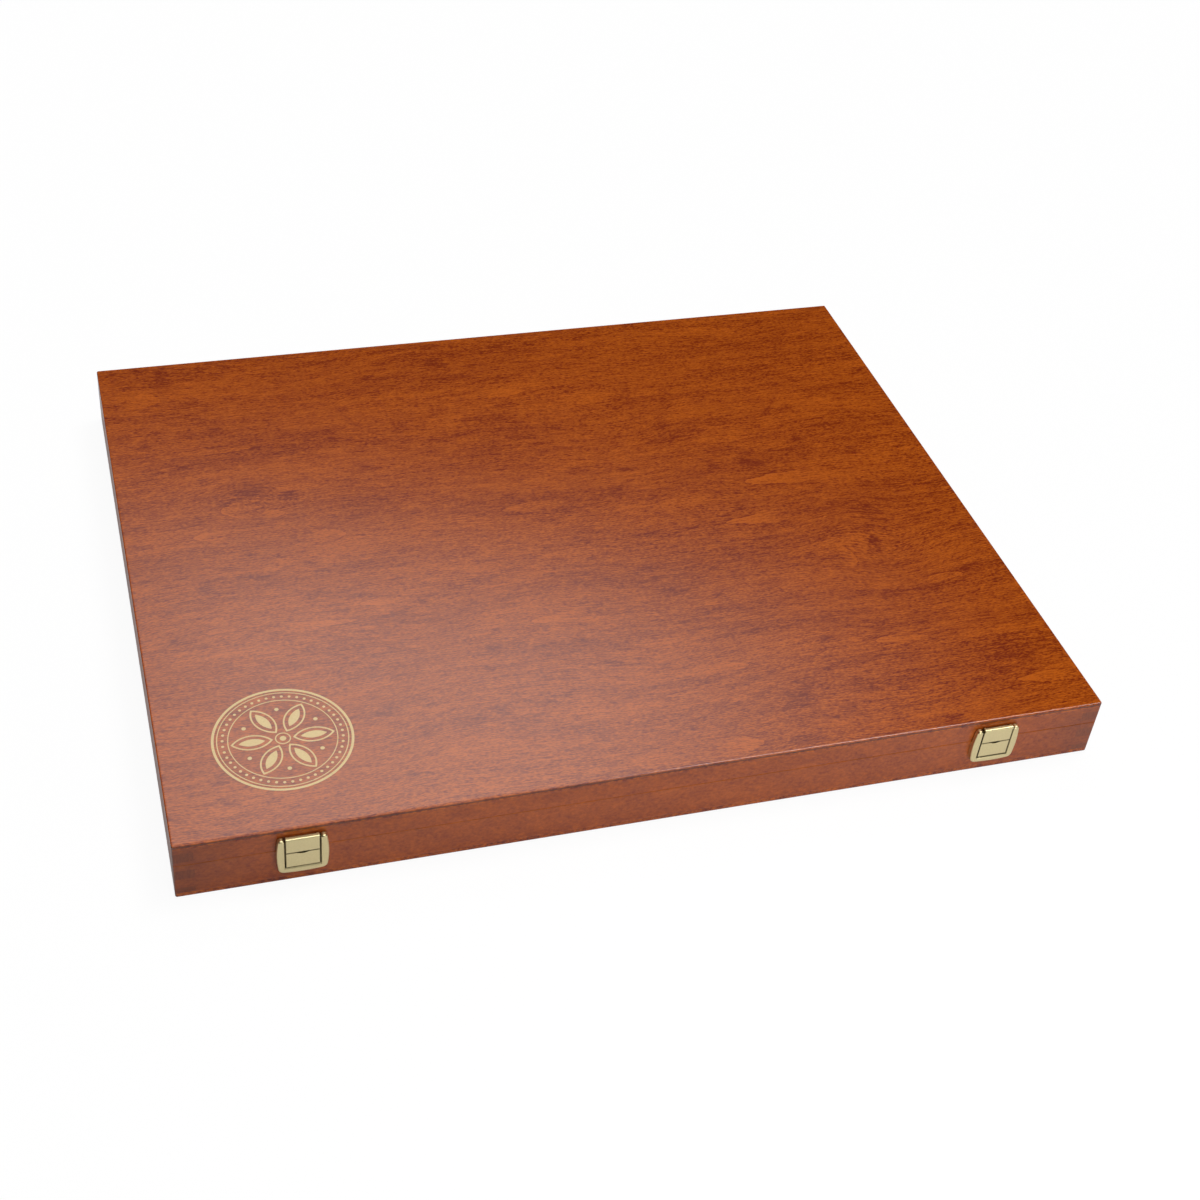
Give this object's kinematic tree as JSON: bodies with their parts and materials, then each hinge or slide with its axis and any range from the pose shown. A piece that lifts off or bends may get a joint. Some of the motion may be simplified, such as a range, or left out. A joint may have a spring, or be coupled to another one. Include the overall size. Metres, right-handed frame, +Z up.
{
  "type": "wooden pastel box",
  "caption": "Flat finger-jointed wooden case for soft pastels, with a hinged lid, brass snap latches at the front and foam-lined lanes inside.",
  "frame": {"origin": "under the middle of the closed case, on the surface it stands on", "axes": "+X to the right along the front edge, +Y to the hinged back, +Z up through the lid"},
  "size_m": [0.48, 0.3968, 0.036],
  "materials": {
    "top_veneer": "gloss",
    "bottom_veneer": "satin",
    "rail_wood": "satin",
    "divider_wood": "matte",
    "latch_brass": "satin",
    "hinge_brass": "satin",
    "brass_fasteners": "satin",
    "brass_wire": "satin",
    "foam": "matte"
  },
  "bodies": {
    "base": {"base_back_rail": "rail_wood", "base_bottom_panel": "bottom_veneer", "base_front_rail": "rail_wood", "base_hinge_screws": "brass_fasteners", "base_left_rail": "rail_wood", "base_right_rail": "rail_wood", "foam_bed_1": "foam", "foam_bed_2": "foam", "foam_bed_3": "foam", "foam_bed_4": "foam", "foam_bed_5": "foam", "lane_divider_1": "divider_wood", "lane_divider_2": "divider_wood", "lane_divider_3": "divider_wood", "lane_divider_4": "divider_wood", "left_catch_frame": "latch_brass", "left_catch_nails": "brass_fasteners", "left_catch_tongue": "latch_brass", "left_hinge_base_leaf": "hinge_brass", "left_hinge_pin": "brass_wire", "right_catch_frame": "latch_brass", "right_catch_nails": "brass_fasteners", "right_catch_tongue": "latch_brass", "right_hinge_base_leaf": "hinge_brass", "right_hinge_pin": "brass_wire"},
    "lid": {"left_bracket_nails": "brass_fasteners", "left_hasp_bracket": "latch_brass", "left_hinge_lid_leaf": "hinge_brass", "lid_back_rail": "rail_wood", "lid_foam_pad": "foam", "lid_front_rail": "rail_wood", "lid_hinge_screws": "brass_fasteners", "lid_left_rail": "rail_wood", "lid_right_rail": "rail_wood", "lid_top_panel": "top_veneer", "right_bracket_nails": "brass_fasteners", "right_hasp_bracket": "latch_brass", "right_hinge_lid_leaf": "hinge_brass"},
    "left_hasp_flap": {"left_hasp": "latch_brass", "left_hasp_pin": "brass_wire"},
    "right_hasp_flap": {"right_hasp": "latch_brass", "right_hasp_pin": "brass_wire"}
  },
  "joints": [
    {"name": "lid_hinge", "type": "hinge", "parent": "base", "child": "lid", "pos_m": [0, 0.1967, 0.0219], "axis": [-1, 0, 0], "range_deg": [0, 180]},
    {"name": "left_hasp_hinge", "type": "hinge", "parent": "lid", "child": "left_hasp_flap", "pos_m": [-0.18, -0.19645, 0.0302], "axis": [-1, 0, 0], "range_deg": [0, 90]},
    {"name": "right_hasp_hinge", "type": "hinge", "parent": "lid", "child": "right_hasp_flap", "pos_m": [0.18, -0.19645, 0.0302], "axis": [-1, 0, 0], "range_deg": [0, 90]}
  ]
}
